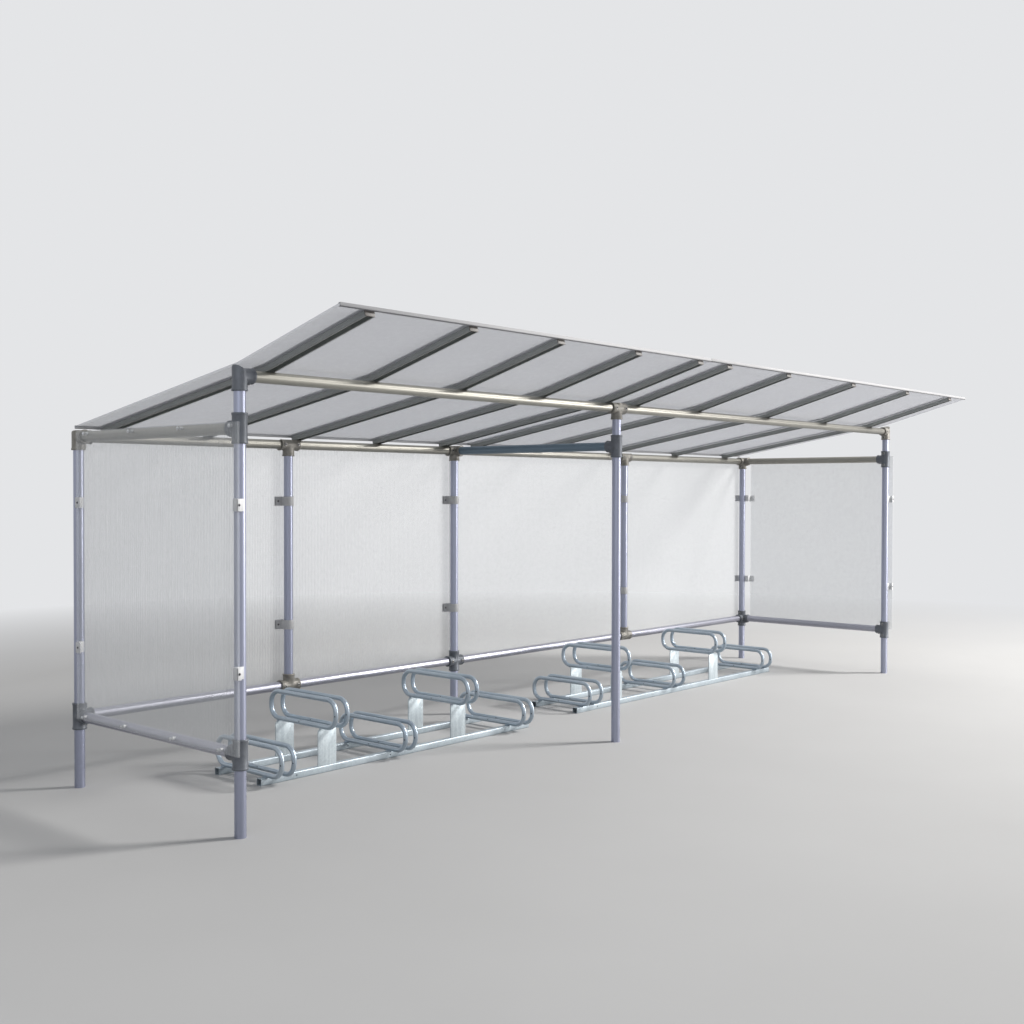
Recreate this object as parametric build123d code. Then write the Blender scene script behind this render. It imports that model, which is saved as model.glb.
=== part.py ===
from build123d import *
from math import atan, cos, pi, sin
import os

# All sizes are in millimetres. X runs along the open front, Y to the closed rear, Z is up.

# Frame layout, measured between tube axes
LENGTH = 5960.0
LEFT_BAY = 2515.0
LEFT_MULLION_SHARE = 0.487
RIGHT_MULLION_SHARE = 0.518
DEPTH = 1250.0
BEAM_HEIGHT = 1850.0
ROOF_FALL = 210.0
LOW_HEIGHT = 335.0

# Round tube and its clamp fittings
TUBE_OD = 48.3
TUBE_WALL = 3.2
FIT_GAP = 0.3
FITTING_OD = 62.0
SOCKET_REACH = 62.0
RIM_HEIGHT = 2.0
RIM_LENGTH = 8.0
BOSS_OD = 18.0
BOSS_HEIGHT = 4.0
FITTING_SIDES = 12
BOSS_SIDES = 6
HIDDEN_BORE_SIDES = 12

# Roof
FRONT_SLOPE = 0.28
FRONT_REACH = 622.0
REAR_REACH = 25.0
SIDE_OVERHANG = 0.0
RAFTER_WIDTH = 50.0
RAFTER_DEPTH = 22.0
RAFTER_WALL = 2.5
LEFT_SHEET_RAFTERS = (152.0, 90.0)
RIGHT_SHEET_RAFTERS = (195.0, 270.0)
LEFT_RAFTER_SHARES = (0.0, 0.25, 0.5, 0.76, 1.0)
RIGHT_RAFTER_SHARES = (0.0, 0.215, 0.49, 0.757, 1.0)
SHEET_THICK = 10.0
SHEET_JOINT = 4.0
SHEET_GAP = 0.2
STRIP_WIDTH = 50.0
STRIP_THICK = 4.0
TRIM_COVER = 10.0
REAR_TRIM_COVER = 8.0
TRIM_WALL = 2.0
TRIM_GAP = 0.3
STRIP_SETBACK = 2.0
CAP_THICK = 3.0
CAP_PLUG = 18.0
CAP_CLEARANCE = 2.0

# Wall panels and their clips
PANEL_THICK = 10.0
PANEL_OFFSET = 34.0
PANEL_JOINT = 4.0
SIDE_PANEL_LAP = 45.0
SIDE_PANEL_SHORT = 55.0
CLIP_INSET = 330.0
CLIP_TALL = 50.0
CLIP_WIDTH = 40.0
CLIP_THICK = 2.5
CLIP_WEB = 3.5
PACKER_WIDTH = 14.0
SADDLE_THICK = 3.0
SADDLE_EAR = 58.0

# Wheel racks: margins to the bay's posts, ends from a rail's end to the first and last pair of hoops
LEFT_RACK_MARGINS = (570.0, 15.0)
LEFT_RACK_BACK = 215.0
LEFT_HOOP_LENGTH = 530.0
LEFT_RAIL_INSETS = (135.0, 60.0)
LEFT_HOOP_ENDS = (75.0, 130.0)
LEFT_HOOP_SHARES = (0.0, 0.19, 0.46, 0.73, 1.0)
LEFT_HOOP_SPACING = 72.0
RIGHT_RACK_MARGINS = (525.0, 535.0)
RIGHT_RACK_BACK = 147.0
RIGHT_HOOP_LENGTH = 482.0
RIGHT_RAIL_INSETS = (85.0, 62.0)
RIGHT_HOOP_ENDS = (120.0, 136.0)
RIGHT_HOOP_SHARES = (0.0, 0.14, 0.44, 0.69, 1.0)
RIGHT_HOOP_SPACING = 118.0
RACK_RAIL = 35.0
RACK_RAIL_WALL = 2.5
HOOP_TUBE = 24.0
HOOP_HEIGHT = 160.0
HOOP_CORNER = 60.0
HOOP_SIDES = 8
CORNER_STEPS = 3
PLATE_WIDTH = 116.0
PLATE_THICK = 6.0
PLATE_TALL = 184.0
WELD_GAP = 0.2

# Values that follow from the sizes above
TUBE_R = TUBE_OD / 2
BORE_R = TUBE_R + FIT_GAP
FITTING_R = FITTING_OD / 2
TUBE_END = TUBE_R + 1.5
RAIL_HEIGHT = BEAM_HEIGHT - ROOF_FALL
REAR_SLOPE = ROOF_FALL / DEPTH
LEFT_MULLION = LEFT_BAY * LEFT_MULLION_SHARE
RIGHT_MULLION = LEFT_BAY + (LENGTH - LEFT_BAY) * RIGHT_MULLION_SHARE
POSTS_X = (0.0, LEFT_BAY, LENGTH)
WALLS_X = (0.0, LEFT_MULLION, LEFT_BAY, RIGHT_MULLION, LENGTH)
PANEL_LOW = LOW_HEIGHT
PANEL_HIGH = RAIL_HEIGHT + TUBE_R
CLIP_HEIGHTS = (PANEL_LOW + CLIP_INSET, PANEL_HIGH - CLIP_INSET)

UP, DOWN = (0, 0, 1), (0, 0, -1)
LEFT, RIGHT = (-1, 0, 0), (1, 0, 0)
FORWARD, BACK = (0, -1, 0), (0, 1, 0)


# Round tubes
def rod(start, direction, radius, length):
    plane = Plane(origin=start, z_dir=direction)
    return plane * Cylinder(radius, length, align=(Align.CENTER, Align.CENTER, Align.MIN))


def flats(start, direction, radius, length, sides):
    section = RegularPolygon(radius, sides, major_radius=False, rotation=180 / sides)
    return Plane(origin=start, z_dir=direction) * extrude(section, amount=length)


def tube(start, direction, length):
    # The bore, which the fittings hide, is drawn in flats
    bore = flats(start, direction, TUBE_R - TUBE_WALL, length, HIDDEN_BORE_SIDES)
    return rod(start, direction, TUBE_R, length) - bore


def tube_x(x0, x1, y, z):
    return tube((x0 + TUBE_END, y, z), RIGHT, x1 - x0 - 2 * TUBE_END)


def tube_y(x, z):
    return tube((x, TUBE_END, z), BACK, DEPTH - 2 * TUBE_END)


def post(x, y, height):
    return tube((x, y, 0), UP, height - TUBE_END)


def mullion(x):
    return tube((x, DEPTH, LOW_HEIGHT + TUBE_END), UP, RAIL_HEIGHT - LOW_HEIGHT - 2 * TUBE_END)


# Clamp fittings: sockets with rims and screw bosses, in flats that stand square to each tube
def along(centre, direction, distance):
    return tuple(c + distance * d for c, d in zip(centre, direction))


def socket_body(centre, direction, side, crown=0.0):
    # The crown carries the socket past the centre, to a closed end
    body = flats(along(centre, direction, -crown), direction, FITTING_R, SOCKET_REACH + crown, FITTING_SIDES)
    rim_start = along(centre, direction, SOCKET_REACH - RIM_LENGTH)
    body += flats(rim_start, direction, FITTING_R + RIM_HEIGHT, RIM_LENGTH, FITTING_SIDES)
    boss_direction = side if direction[2] else FORWARD if direction[0] else DOWN
    boss_start = along(centre, direction, SOCKET_REACH - RIM_LENGTH - BOSS_OD / 2 - 2)
    body += flats(boss_start, boss_direction, BOSS_OD / 2, FITTING_R + BOSS_HEIGHT, BOSS_SIDES)
    return body


def fitting(centre, sockets, sleeve=()):
    # Screws in upright sockets face the middle of the shelter
    side = LEFT if centre[0] > LEFT_BAY else RIGHT
    body = socket_body(centre, sockets[0], side, crown=0.0 if sleeve else FITTING_R)
    for direction in list(sockets[1:]) + list(sleeve):
        body += socket_body(centre, direction, side)
    for direction in sockets:
        start = along(centre, direction, TUBE_END - 0.5)
        body -= flats(start, direction, BORE_R, SOCKET_REACH, FITTING_SIDES)
    for direction in sleeve:
        body -= flats(centre, direction, BORE_R, 2 * SOCKET_REACH, FITTING_SIDES)
    return body


def saddle_tee(x):
    # The top is cut flat, level with the tube, so that a rafter can lie across it
    body = fitting((x, DEPTH, RAIL_HEIGHT), [DOWN], [LEFT, RIGHT])
    seat = Plane(origin=(x, DEPTH, RAIL_HEIGHT), z_dir=(0, sin(atan(REAR_SLOPE)), cos(atan(REAR_SLOPE))))
    cutter = Box(3 * SOCKET_REACH, 3 * SOCKET_REACH, 60, align=(Align.CENTER, Align.CENTER, Align.MIN))
    return body - seat * Pos(0, 0, TUBE_R) * cutter


# Roof section: stations run along each slope from the bend, heights square to it
def roof_axes():
    rear = atan(REAR_SLOPE)
    front = atan(FRONT_SLOPE)
    return (cos(rear), -sin(rear), sin(rear), cos(rear)), (-cos(front), sin(front), sin(front), cos(front))


def roof_bend(height):
    rear, front = roof_axes()
    base_y, base_z = rear[2] * BORE_R, BEAM_HEIGHT + rear[3] * BORE_R
    joined_y, joined_z = rear[2] + front[2], rear[3] + front[3]
    scale = height / (1 + rear[2] * front[2] + rear[3] * front[3])
    return base_y + joined_y * scale, base_z + joined_z * scale


def roof_point(station, height):
    rear, front = roof_axes()
    axes = rear if station > 0 else front
    base_y, base_z = rear[2] * BORE_R, BEAM_HEIGHT + rear[3] * BORE_R
    distance = abs(station)
    return (base_y + distance * axes[0] + height * axes[2],
            base_z + distance * axes[1] + height * axes[3])


def roof_bar(x0, x1, front, rear, low, high):
    # A bar or sheet between two heights, from the front station to the rear one
    points = [roof_point(front, low), roof_point(front, high)]
    if front < 0 < rear:
        points += [roof_bend(high), roof_point(rear, high), roof_point(rear, low), roof_bend(low)]
    else:
        points += [roof_point(rear, high), roof_point(rear, low)]
    face = make_face(Polyline([(x0, y, z) for y, z in points], close=True))
    return extrude(face, amount=x1 - x0, dir=(1, 0, 0))


ROOF_COS = cos(atan(REAR_SLOPE))
FRONT_COS = cos(atan(FRONT_SLOPE))
SHEET_FRONT = -FRONT_REACH / FRONT_COS
SHEET_REAR = (DEPTH + REAR_REACH) / ROOF_COS
RAFTER_FRONT = SHEET_FRONT + TRIM_COVER + CAP_THICK + CAP_CLEARANCE
RAFTER_REAR = SHEET_REAR - REAR_TRIM_COVER - CAP_THICK - CAP_CLEARANCE
SHEET_LOW = RAFTER_DEPTH + SHEET_GAP
SHEET_HIGH = SHEET_LOW + SHEET_THICK


def rafter_places(bay_start, bay_end, margins, shares):
    # The outer two stand in from the posts, and the rest share the run between them
    first, last = bay_start + margins[0], bay_end - margins[1]
    return [first + share * (last - first) for share in shares]


LEFT_RAFTERS = rafter_places(0.0, LEFT_BAY, LEFT_SHEET_RAFTERS, LEFT_RAFTER_SHARES)
RIGHT_RAFTERS = rafter_places(LEFT_BAY, LENGTH, RIGHT_SHEET_RAFTERS, RIGHT_RAFTER_SHARES)


def rafter(x):
    # A channel, open below, with its web under the sheet
    half = RAFTER_WIDTH / 2
    bar = roof_bar(x - half, x + half, RAFTER_FRONT, RAFTER_REAR, 0, RAFTER_DEPTH)
    inner = half - RAFTER_WALL
    return bar - roof_bar(x - inner, x + inner, RAFTER_FRONT - 5, RAFTER_REAR + 5,
                          -RAFTER_WALL, RAFTER_DEPTH - RAFTER_WALL)


def rafter_cap(x, station, outward):
    half = RAFTER_WIDTH / 2
    plug = half - RAFTER_WALL - FIT_GAP
    low, high = RAFTER_DEPTH / 3, RAFTER_DEPTH - RAFTER_WALL - FIT_GAP
    plate_ends = sorted((station, station + outward * CAP_THICK))
    plug_ends = sorted((station, station - outward * CAP_PLUG))
    plate = roof_bar(x - half, x + half, *plate_ends, 0, RAFTER_DEPTH)
    return plate + roof_bar(x - plug, x + plug, *plug_ends, low, high)


def cover_strip(x):
    half = STRIP_WIDTH / 2
    front = SHEET_FRONT + TRIM_COVER + STRIP_SETBACK
    rear = SHEET_REAR - REAR_TRIM_COVER - STRIP_SETBACK
    return roof_bar(x - half, x + half, front, rear, SHEET_HIGH + SHEET_GAP, SHEET_HIGH + STRIP_THICK)


def edge_trim(x0, x1, station, outward, cover):
    # A channel pushed over the edge of the sheet
    back = station - outward * cover
    seat = station + outward * TRIM_GAP
    lip = seat + outward * TRIM_WALL
    low, high = SHEET_LOW - SHEET_GAP, SHEET_HIGH + SHEET_GAP
    outer = roof_bar(x0, x1, *sorted((back, lip)), low - TRIM_WALL, high + TRIM_WALL)
    inner = roof_bar(x0 - 1, x1 + 1, *sorted((back - outward * TRIM_WALL, seat)), low, high)
    return outer - inner


LEFT_SHEET = (-SIDE_OVERHANG, LEFT_BAY - SHEET_JOINT / 2)
RIGHT_SHEET = (LEFT_BAY + SHEET_JOINT / 2, LENGTH + SIDE_OVERHANG)


# Wall panels and the clips that hold their edges to the posts
def rear_panel(x0, x1):
    left = x0 + PANEL_JOINT / 2
    right = x1 - PANEL_JOINT / 2
    corner = (left, DEPTH + PANEL_OFFSET, PANEL_LOW)
    return Pos(*corner) * Box(right - left, PANEL_THICK, PANEL_HIGH - PANEL_LOW, align=Align.MIN)


def side_panel(x, outward):
    # It laps over the front post and stops short of the rear one
    front, back = -SIDE_PANEL_LAP, DEPTH - SIDE_PANEL_SHORT
    centre_x = x + outward * (PANEL_OFFSET + PANEL_THICK / 2)
    centre = (centre_x, (front + back) / 2, (PANEL_LOW + PANEL_HIGH) / 2)
    return Pos(*centre) * Box(PANEL_THICK, back - front, PANEL_HIGH - PANEL_LOW)


def block(x0, x1, y0, y1):
    return Pos(x0, y0, -CLIP_TALL / 2) * Box(x1 - x0, y1 - y0, CLIP_TALL, align=Align.MIN)


PANEL_OUTER = PANEL_OFFSET + PANEL_THICK + FIT_GAP


def turned(body, x, y, z, turn, mirrored):
    return Pos(x, y, z) * Rot(0, 0, turn) * (mirror(body, Plane.YZ) if mirrored else body)


# Local axes of a clip: the panel lies on +Y and runs to +X, and the post is at the origin
def round_post(body):
    return body - flats((0, 0, -CLIP_TALL), UP, BORE_R, 2 * CLIP_TALL, FITTING_SIDES)


def clip_plate(x0, x1):
    return block(x0, x1, PANEL_OUTER, PANEL_OUTER + CLIP_THICK)


def lap_clip(*place):
    # Where the panel laps over the post: a plate outside it and a packer behind it
    plate = clip_plate(2 - CLIP_WIDTH, 2)
    middle = 2 - CLIP_WIDTH / 2
    start, end = middle - PACKER_WIDTH / 2, middle + PACKER_WIDTH / 2
    packer = round_post(block(start, end, 0, PANEL_OFFSET - FIT_GAP))
    return [turned(plate, *place), turned(packer, *place)]


def end_clip(panel_edge, *place):
    # Where the panel ends beside the post: a web past its edge, with a foot that reaches the post
    edge = panel_edge - FIT_GAP
    web = block(edge - CLIP_WEB, edge, TUBE_R / 4, PANEL_OUTER)
    foot = block(0, edge, TUBE_R / 4, TUBE_R / 4 + CLIP_WEB)
    plate = clip_plate(edge - CLIP_WEB, edge + CLIP_WIDTH - CLIP_WEB)
    return [turned(round_post(web + foot) + plate, *place)]


def saddle_clip(x, z):
    # A strap round the mullion with an ear on each panel, and a plate behind both
    shell = BORE_R + SADDLE_THICK
    ear = PANEL_OFFSET - FIT_GAP
    body = flats((0, 0, -CLIP_TALL / 2), UP, shell, CLIP_TALL, FITTING_SIDES) + block(-shell, shell, 0, ear)
    body += block(-SADDLE_EAR, SADDLE_EAR, ear - SADDLE_THICK, ear)
    body -= flats((0, 0, -CLIP_TALL), UP, BORE_R, 2 * CLIP_TALL, FITTING_SIDES)
    body -= Pos(0, ear / 2 + 1, 0) * Box(2 * BORE_R, ear + 2, 2 * CLIP_TALL)
    return Pos(x, DEPTH, z) * body


def back_plate(x, z):
    outer = DEPTH + PANEL_OUTER
    return Pos(0, 0, z) * block(x - SADDLE_EAR, x + SADDLE_EAR, outer, outer + CLIP_THICK)


# Wheel racks: two floor rails, hoops in pairs, every second pair raised on plates
def rack_rail(x0, x1, y):
    size = (x1 - x0, RACK_RAIL, RACK_RAIL)
    inner = RACK_RAIL - 2 * RACK_RAIL_WALL
    centre = ((x0 + x1) / 2, y, RACK_RAIL / 2)
    return Pos(*centre) * (Box(*size) - Box(x1 - x0 + 2, inner, inner))


def hoop_line(x, front, rear, low):
    # Straight runs joined by corners drawn in equal chords
    half_y = (rear - front) / 2 - HOOP_TUBE / 2 - HOOP_CORNER
    half_z = HOOP_HEIGHT / 2 - HOOP_TUBE / 2 - HOOP_CORNER
    centre_y = (front + rear) / 2
    centre_z = low + HOOP_HEIGHT / 2
    points = [(x, centre_y, centre_z - half_z - HOOP_CORNER)]
    for quarter, (side_y, side_z) in enumerate(((1, -1), (1, 1), (-1, 1), (-1, -1))):
        for step in range(CORNER_STEPS + 1):
            angle = (quarter - 1 + step / CORNER_STEPS) * pi / 2
            points.append((x, centre_y + side_y * half_y + HOOP_CORNER * cos(angle),
                           centre_z + side_z * half_z + HOOP_CORNER * sin(angle)))
    return Polyline(points, close=True)


def hoop(x, front, rear, low):
    path = hoop_line(x, front, rear, low)
    outline = RegularPolygon(HOOP_TUBE / 2, HOOP_SIDES, major_radius=False, rotation=180 / HOOP_SIDES)
    section = Plane(origin=path @ 0, z_dir=BACK) * outline
    return sweep(section, path=path.wire(), transition=Transition.RIGHT)


def stand_plates(x, rails_y):
    plates = []
    for y in rails_y:
        centre = (x, y - RACK_RAIL / 2 + 2 + PLATE_THICK / 2, RACK_RAIL)
        align = (Align.CENTER, Align.CENTER, Align.MIN)
        plates.append(Pos(*centre) * Box(PLATE_WIDTH, PLATE_THICK, PLATE_TALL, align=align))
    return plates


def rack(start, end, back, hoop_length, rail_insets, hoop_ends, shares, spacing):
    # Every second pair of hoops is raised on plates
    rear = DEPTH - back
    front = rear - hoop_length
    rails_y = (front + rail_insets[0], rear - rail_insets[1])
    first, last = start + hoop_ends[0], end - hoop_ends[1]
    rails = [rack_rail(start, end, y) for y in rails_y]
    low_hoops, high_hoops, plates = [], [], []
    for n, share in enumerate(shares):
        x = first + share * (last - first)
        raised = n % 2 == 1
        low = RACK_RAIL + WELD_GAP + (PLATE_TALL if raised else 0)
        pair = [hoop(x + side * spacing / 2, front, rear, low) for side in (-1, 1)]
        (high_hoops if raised else low_hoops).extend(pair)
        if raised:
            plates += stand_plates(x, rails_y)
    return rails, low_hoops, high_hoops, plates


# Put every node together
def build():
    nodes = {}
    for name, x in zip(("left", "middle", "right"), POSTS_X):
        nodes["post_front_" + name] = [post(x, 0, BEAM_HEIGHT)]
        nodes["post_rear_" + name] = [post(x, DEPTH, RAIL_HEIGHT)]
        nodes["cross_tube_" + name] = [tube_y(x, RAIL_HEIGHT)]
    for name, x in (("left", LEFT_MULLION), ("right", RIGHT_MULLION)):
        nodes["mullion_" + name] = [mullion(x)]
    for name, x0, x1 in (("left", 0, LEFT_BAY), ("right", LEFT_BAY, LENGTH)):
        nodes["front_beam_" + name] = [tube_x(x0, x1, 0, BEAM_HEIGHT)]
        nodes["rear_top_rail_" + name] = [tube_x(x0, x1, DEPTH, RAIL_HEIGHT)]
        nodes["rear_low_rail_" + name] = [tube_x(x0, x1, DEPTH, LOW_HEIGHT)]
    for name, x in (("left", 0), ("right", LENGTH)):
        nodes["side_low_rail_" + name] = [tube_y(x, LOW_HEIGHT)]

    ends = ([RIGHT], [LEFT, RIGHT], [LEFT])
    nodes["front_beam_fittings"] = [fitting((x, 0, BEAM_HEIGHT), [DOWN] + run)
                                    for x, run in zip(POSTS_X, ends)]
    nodes["cross_tube_tees"] = [fitting((x, 0, RAIL_HEIGHT), [BACK], [UP, DOWN]) for x in POSTS_X]
    nodes["rear_top_fittings"] = [fitting((x, DEPTH, RAIL_HEIGHT), [DOWN, FORWARD] + run)
                                  for x, run in zip(POSTS_X, ends)]
    front_low = [fitting((x, 0, LOW_HEIGHT), [BACK], [UP, DOWN]) for x in (0, LENGTH)]
    rear_runs = ([RIGHT, FORWARD], [LEFT, RIGHT], [LEFT, FORWARD])
    rear_low = [fitting((x, DEPTH, LOW_HEIGHT), run, [UP, DOWN]) for x, run in zip(POSTS_X, rear_runs)]
    nodes["low_rail_fittings"] = front_low + rear_low
    mullions = (LEFT_MULLION, RIGHT_MULLION)
    feet = [fitting((x, DEPTH, LOW_HEIGHT), [UP], [LEFT, RIGHT]) for x in mullions]
    nodes["mullion_tees"] = [saddle_tee(x) for x in mullions] + feet

    sheets = (("left", LEFT_RAFTERS, LEFT_SHEET), ("right", RIGHT_RAFTERS, RIGHT_SHEET))
    for name, places, (x0, x1) in sheets:
        nodes["rafters_" + name] = [rafter(x) for x in places]
        nodes["rafter_caps_" + name] = ([rafter_cap(x, RAFTER_FRONT, -1) for x in places]
                                        + [rafter_cap(x, RAFTER_REAR, 1) for x in places])
        nodes["roof_sheet_" + name] = [roof_bar(x0, x1, SHEET_FRONT, SHEET_REAR, SHEET_LOW, SHEET_HIGH)]
        nodes["cover_strips_" + name] = [cover_strip(x) for x in places]
        nodes["roof_edge_trim_" + name] = [edge_trim(x0, x1, SHEET_FRONT, -1, TRIM_COVER),
                                           edge_trim(x0, x1, SHEET_REAR, 1, REAR_TRIM_COVER)]

    for n in range(4):
        nodes["rear_panel_%d" % (n + 1)] = [rear_panel(WALLS_X[n], WALLS_X[n + 1])]
    nodes["side_panel_left"] = [side_panel(0, -1)]
    nodes["side_panel_right"] = [side_panel(LENGTH, 1)]
    clips = []
    rear_edge = PANEL_JOINT / 2
    for z in CLIP_HEIGHTS:
        clips += lap_clip(0, 0, z, 90, False) + end_clip(SIDE_PANEL_SHORT, 0, DEPTH, z, 90, True)
        clips += lap_clip(LENGTH, 0, z, -90, True) + end_clip(SIDE_PANEL_SHORT, LENGTH, DEPTH, z, -90, False)
        clips += end_clip(rear_edge, 0, DEPTH, z, 0, False) + end_clip(rear_edge, LENGTH, DEPTH, z, 0, True)
    nodes["edge_clips"] = clips
    inner_walls = WALLS_X[1:-1]
    nodes["saddle_clips"] = [saddle_clip(x, z) for x in inner_walls for z in CLIP_HEIGHTS]
    nodes["clip_back_plates"] = [back_plate(x, z) for x in inner_walls for z in CLIP_HEIGHTS]

    left_rack = (LEFT_RACK_BACK, LEFT_HOOP_LENGTH, LEFT_RAIL_INSETS, LEFT_HOOP_ENDS,
                 LEFT_HOOP_SHARES, LEFT_HOOP_SPACING)
    right_rack = (RIGHT_RACK_BACK, RIGHT_HOOP_LENGTH, RIGHT_RAIL_INSETS, RIGHT_HOOP_ENDS,
                  RIGHT_HOOP_SHARES, RIGHT_HOOP_SPACING)
    bays = (("left", 0.0, LEFT_BAY, LEFT_RACK_MARGINS, left_rack),
            ("right", LEFT_BAY, LENGTH, RIGHT_RACK_MARGINS, right_rack))
    for name, bay_start, bay_end, margins, places in bays:
        rails, low_hoops, high_hoops, plates = rack(bay_start + margins[0], bay_end - margins[1], *places)
        nodes["rack_rails_" + name] = rails
        nodes["low_hoops_" + name] = low_hoops
        nodes["high_hoops_" + name] = high_hoops
        nodes["rack_plates_" + name] = plates
    return nodes


# The origin is at floor level under the middle of the shelter's outline
def save(nodes):
    lip, skin = TRIM_WALL + TRIM_GAP, TRIM_WALL + SHEET_GAP
    front_edge = roof_point(SHEET_FRONT - lip, SHEET_LOW - skin)[0]
    roof_rear = roof_point(SHEET_REAR + lip, SHEET_HIGH + skin)[0]
    rear_edge = max(roof_rear, DEPTH + PANEL_OUTER + CLIP_THICK)
    centre = Pos(-LENGTH / 2, -(front_edge + rear_edge) / 2, 0)
    os.makedirs("parts", exist_ok=True)
    for name, solids in nodes.items():
        placed = [centre * solid for solid in solids]
        shape = placed[0] if len(placed) == 1 else Compound(children=placed)
        export_step(shape, "parts/%s.step" % name)


save(build())
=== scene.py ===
import bpy
import bmesh
from math import atan, cos, pi, radians, sin
from mathutils import Matrix, Vector


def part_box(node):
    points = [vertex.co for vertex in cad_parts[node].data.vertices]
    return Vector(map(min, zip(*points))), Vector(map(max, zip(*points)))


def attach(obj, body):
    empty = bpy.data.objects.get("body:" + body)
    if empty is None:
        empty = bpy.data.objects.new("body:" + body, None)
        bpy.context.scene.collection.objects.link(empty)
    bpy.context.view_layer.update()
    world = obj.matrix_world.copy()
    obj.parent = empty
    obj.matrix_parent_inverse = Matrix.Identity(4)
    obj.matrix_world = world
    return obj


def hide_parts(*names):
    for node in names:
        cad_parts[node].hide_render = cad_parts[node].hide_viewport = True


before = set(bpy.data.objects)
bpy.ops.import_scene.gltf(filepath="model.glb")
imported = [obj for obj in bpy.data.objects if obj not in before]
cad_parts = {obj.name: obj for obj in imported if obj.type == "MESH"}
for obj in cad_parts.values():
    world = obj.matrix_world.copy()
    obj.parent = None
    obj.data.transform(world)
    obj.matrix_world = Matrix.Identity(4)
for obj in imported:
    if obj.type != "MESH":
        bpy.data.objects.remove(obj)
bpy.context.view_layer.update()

# Sizes in millimetres, the same as in the part's source
LENGTH, LEFT_BAY, DEPTH = 5960.0, 2515.0, 1250.0
LEFT_MULLION_SHARE, RIGHT_MULLION_SHARE = 0.487, 0.518
LEFT_MULLION = LEFT_BAY * LEFT_MULLION_SHARE
RIGHT_MULLION = LEFT_BAY + (LENGTH - LEFT_BAY) * RIGHT_MULLION_SHARE
BEAM_HEIGHT, ROOF_FALL, LOW_HEIGHT = 1850.0, 210.0, 335.0
RAIL_HEIGHT = BEAM_HEIGHT - ROOF_FALL
TUBE_R, BORE_R, CASTING_R, SOCKET_REACH = 24.15, 24.45, 31.0, 62.0
RIM_HEIGHT, RIM_LENGTH, BOSS_HEIGHT = 2.0, 8.0, 4.0
REAR_SLOPE, FRONT_SLOPE = ROOF_FALL / DEPTH, 0.28
FRONT_REACH, REAR_OVERHANG = 622.0, 25.0
TRIM_COVER, REAR_TRIM_COVER, TRIM_WALL, TRIM_GAP = 10.0, 8.0, 2.0, 0.3
CAP_THICK, CAP_CLEARANCE, CAP_PLUG = 3.0, 2.0, 18.0
SHEET_FRONT = -FRONT_REACH / cos(atan(FRONT_SLOPE))
SHEET_REAR = (DEPTH + REAR_OVERHANG) / cos(atan(REAR_SLOPE))
RAFTER_FRONT = SHEET_FRONT + TRIM_COVER + CAP_THICK + CAP_CLEARANCE
RAFTER_REAR = SHEET_REAR - REAR_TRIM_COVER - CAP_THICK - CAP_CLEARANCE
RAFTER_WIDTH, RAFTER_DEPTH, RAFTER_WALL, RAFTER_LIP = 50.0, 22.0, 2.5, 6.0
SHEET_LOW, SHEET_HIGH, SHEET_GAP, STRIP_THICK = 22.2, 32.2, 0.2, 4.0
HALF_JOINT = 2
LEFT_SHEET, RIGHT_SHEET = (0.0, LEFT_BAY - HALF_JOINT), (LEFT_BAY + HALF_JOINT, LENGTH)
PANEL_LOW, PANEL_HIGH = LOW_HEIGHT, RAIL_HEIGHT + TUBE_R
PANEL_INNER, PANEL_FACE, CLIP_FACE = 34.0, 44.0, 46.8
CLIP_FROM_END, CLIP_TALL, CLIP_WIDTH, CLIP_SHEET = 330, 50.0, 40, 2.5
CLIP_HEIGHTS = (PANEL_LOW + CLIP_FROM_END, PANEL_HIGH - CLIP_FROM_END)
SADDLE_FACE, SADDLE_SCREW = 30.7, 45.0
LAP_PLATE_Y, PANEL_LAP = -18.0, 45.0
RACK_RAIL = 35.0
HOOP_HEIGHT, HOOP_R, HOOP_CORNER = 160.0, 12.0, 60.0
PLATE_TALL, PLATE_WIDTH, PLATE_THICK = 184.0, 116.0, 6.0

# Sizes that only the scene has: the elbows' raised corner and the angles of the front clips
ELBOW_CROWN, ELBOW_PEAK = 46.0, 44.0
ANGLE_FRONT, ANGLE_SIDE = -PANEL_LAP - SHEET_GAP - CLIP_SHEET, 30.0
FLANGE_INNER, FLANGE_SCREW = 27.0, 37


def between(start, end, shares):
    return [start + share * (end - start) for share in shares]


LEFT_RAFTERS = between(152, LEFT_BAY - 90, (0, 0.25, 0.5, 0.76, 1))
RIGHT_RAFTERS = between(LEFT_BAY + 195, LENGTH - 270, (0, 0.215, 0.49, 0.757, 1))


class Rack:
    # Where one rack's rails lie and where its pairs of hoops stand
    def __init__(self, start, end, back, hoop_length, insets, ends, shares, spacing):
        self.start, self.end = start, end
        self.rear = DEPTH - back
        self.front = self.rear - hoop_length
        self.rails_y = (self.front + insets[0], self.rear - insets[1])
        self.pairs_x = between(start + ends[0], end - ends[1], shares)
        self.spacing = spacing


RACKS = {
    "left": Rack(570, LEFT_BAY - 15, 215, 530, (135, 60), (75, 130), (0, 0.19, 0.46, 0.73, 1), 72),
    "right": Rack(LEFT_BAY + 525, LENGTH - 535, 147, 482, (85, 62), (120, 136),
                  (0, 0.14, 0.44, 0.69, 1), 118),
}

UP, DOWN, LEFT, RIGHT = (0, 0, 1), (0, 0, -1), (-1, 0, 0), (1, 0, 0)
FORWARD, BACK = (0, -1, 0), (0, 1, 0)
MM = 0.001

# The front left post's axis is where x and y are measured from
low_corner, high_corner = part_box("post_front_left")
POST_X = (low_corner[0] + high_corner[0]) / 2
POST_Y = (low_corner[1] + high_corner[1]) / 2


def at(x, y, z):
    return Vector((POST_X + x * MM, POST_Y + y * MM, z * MM))


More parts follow.
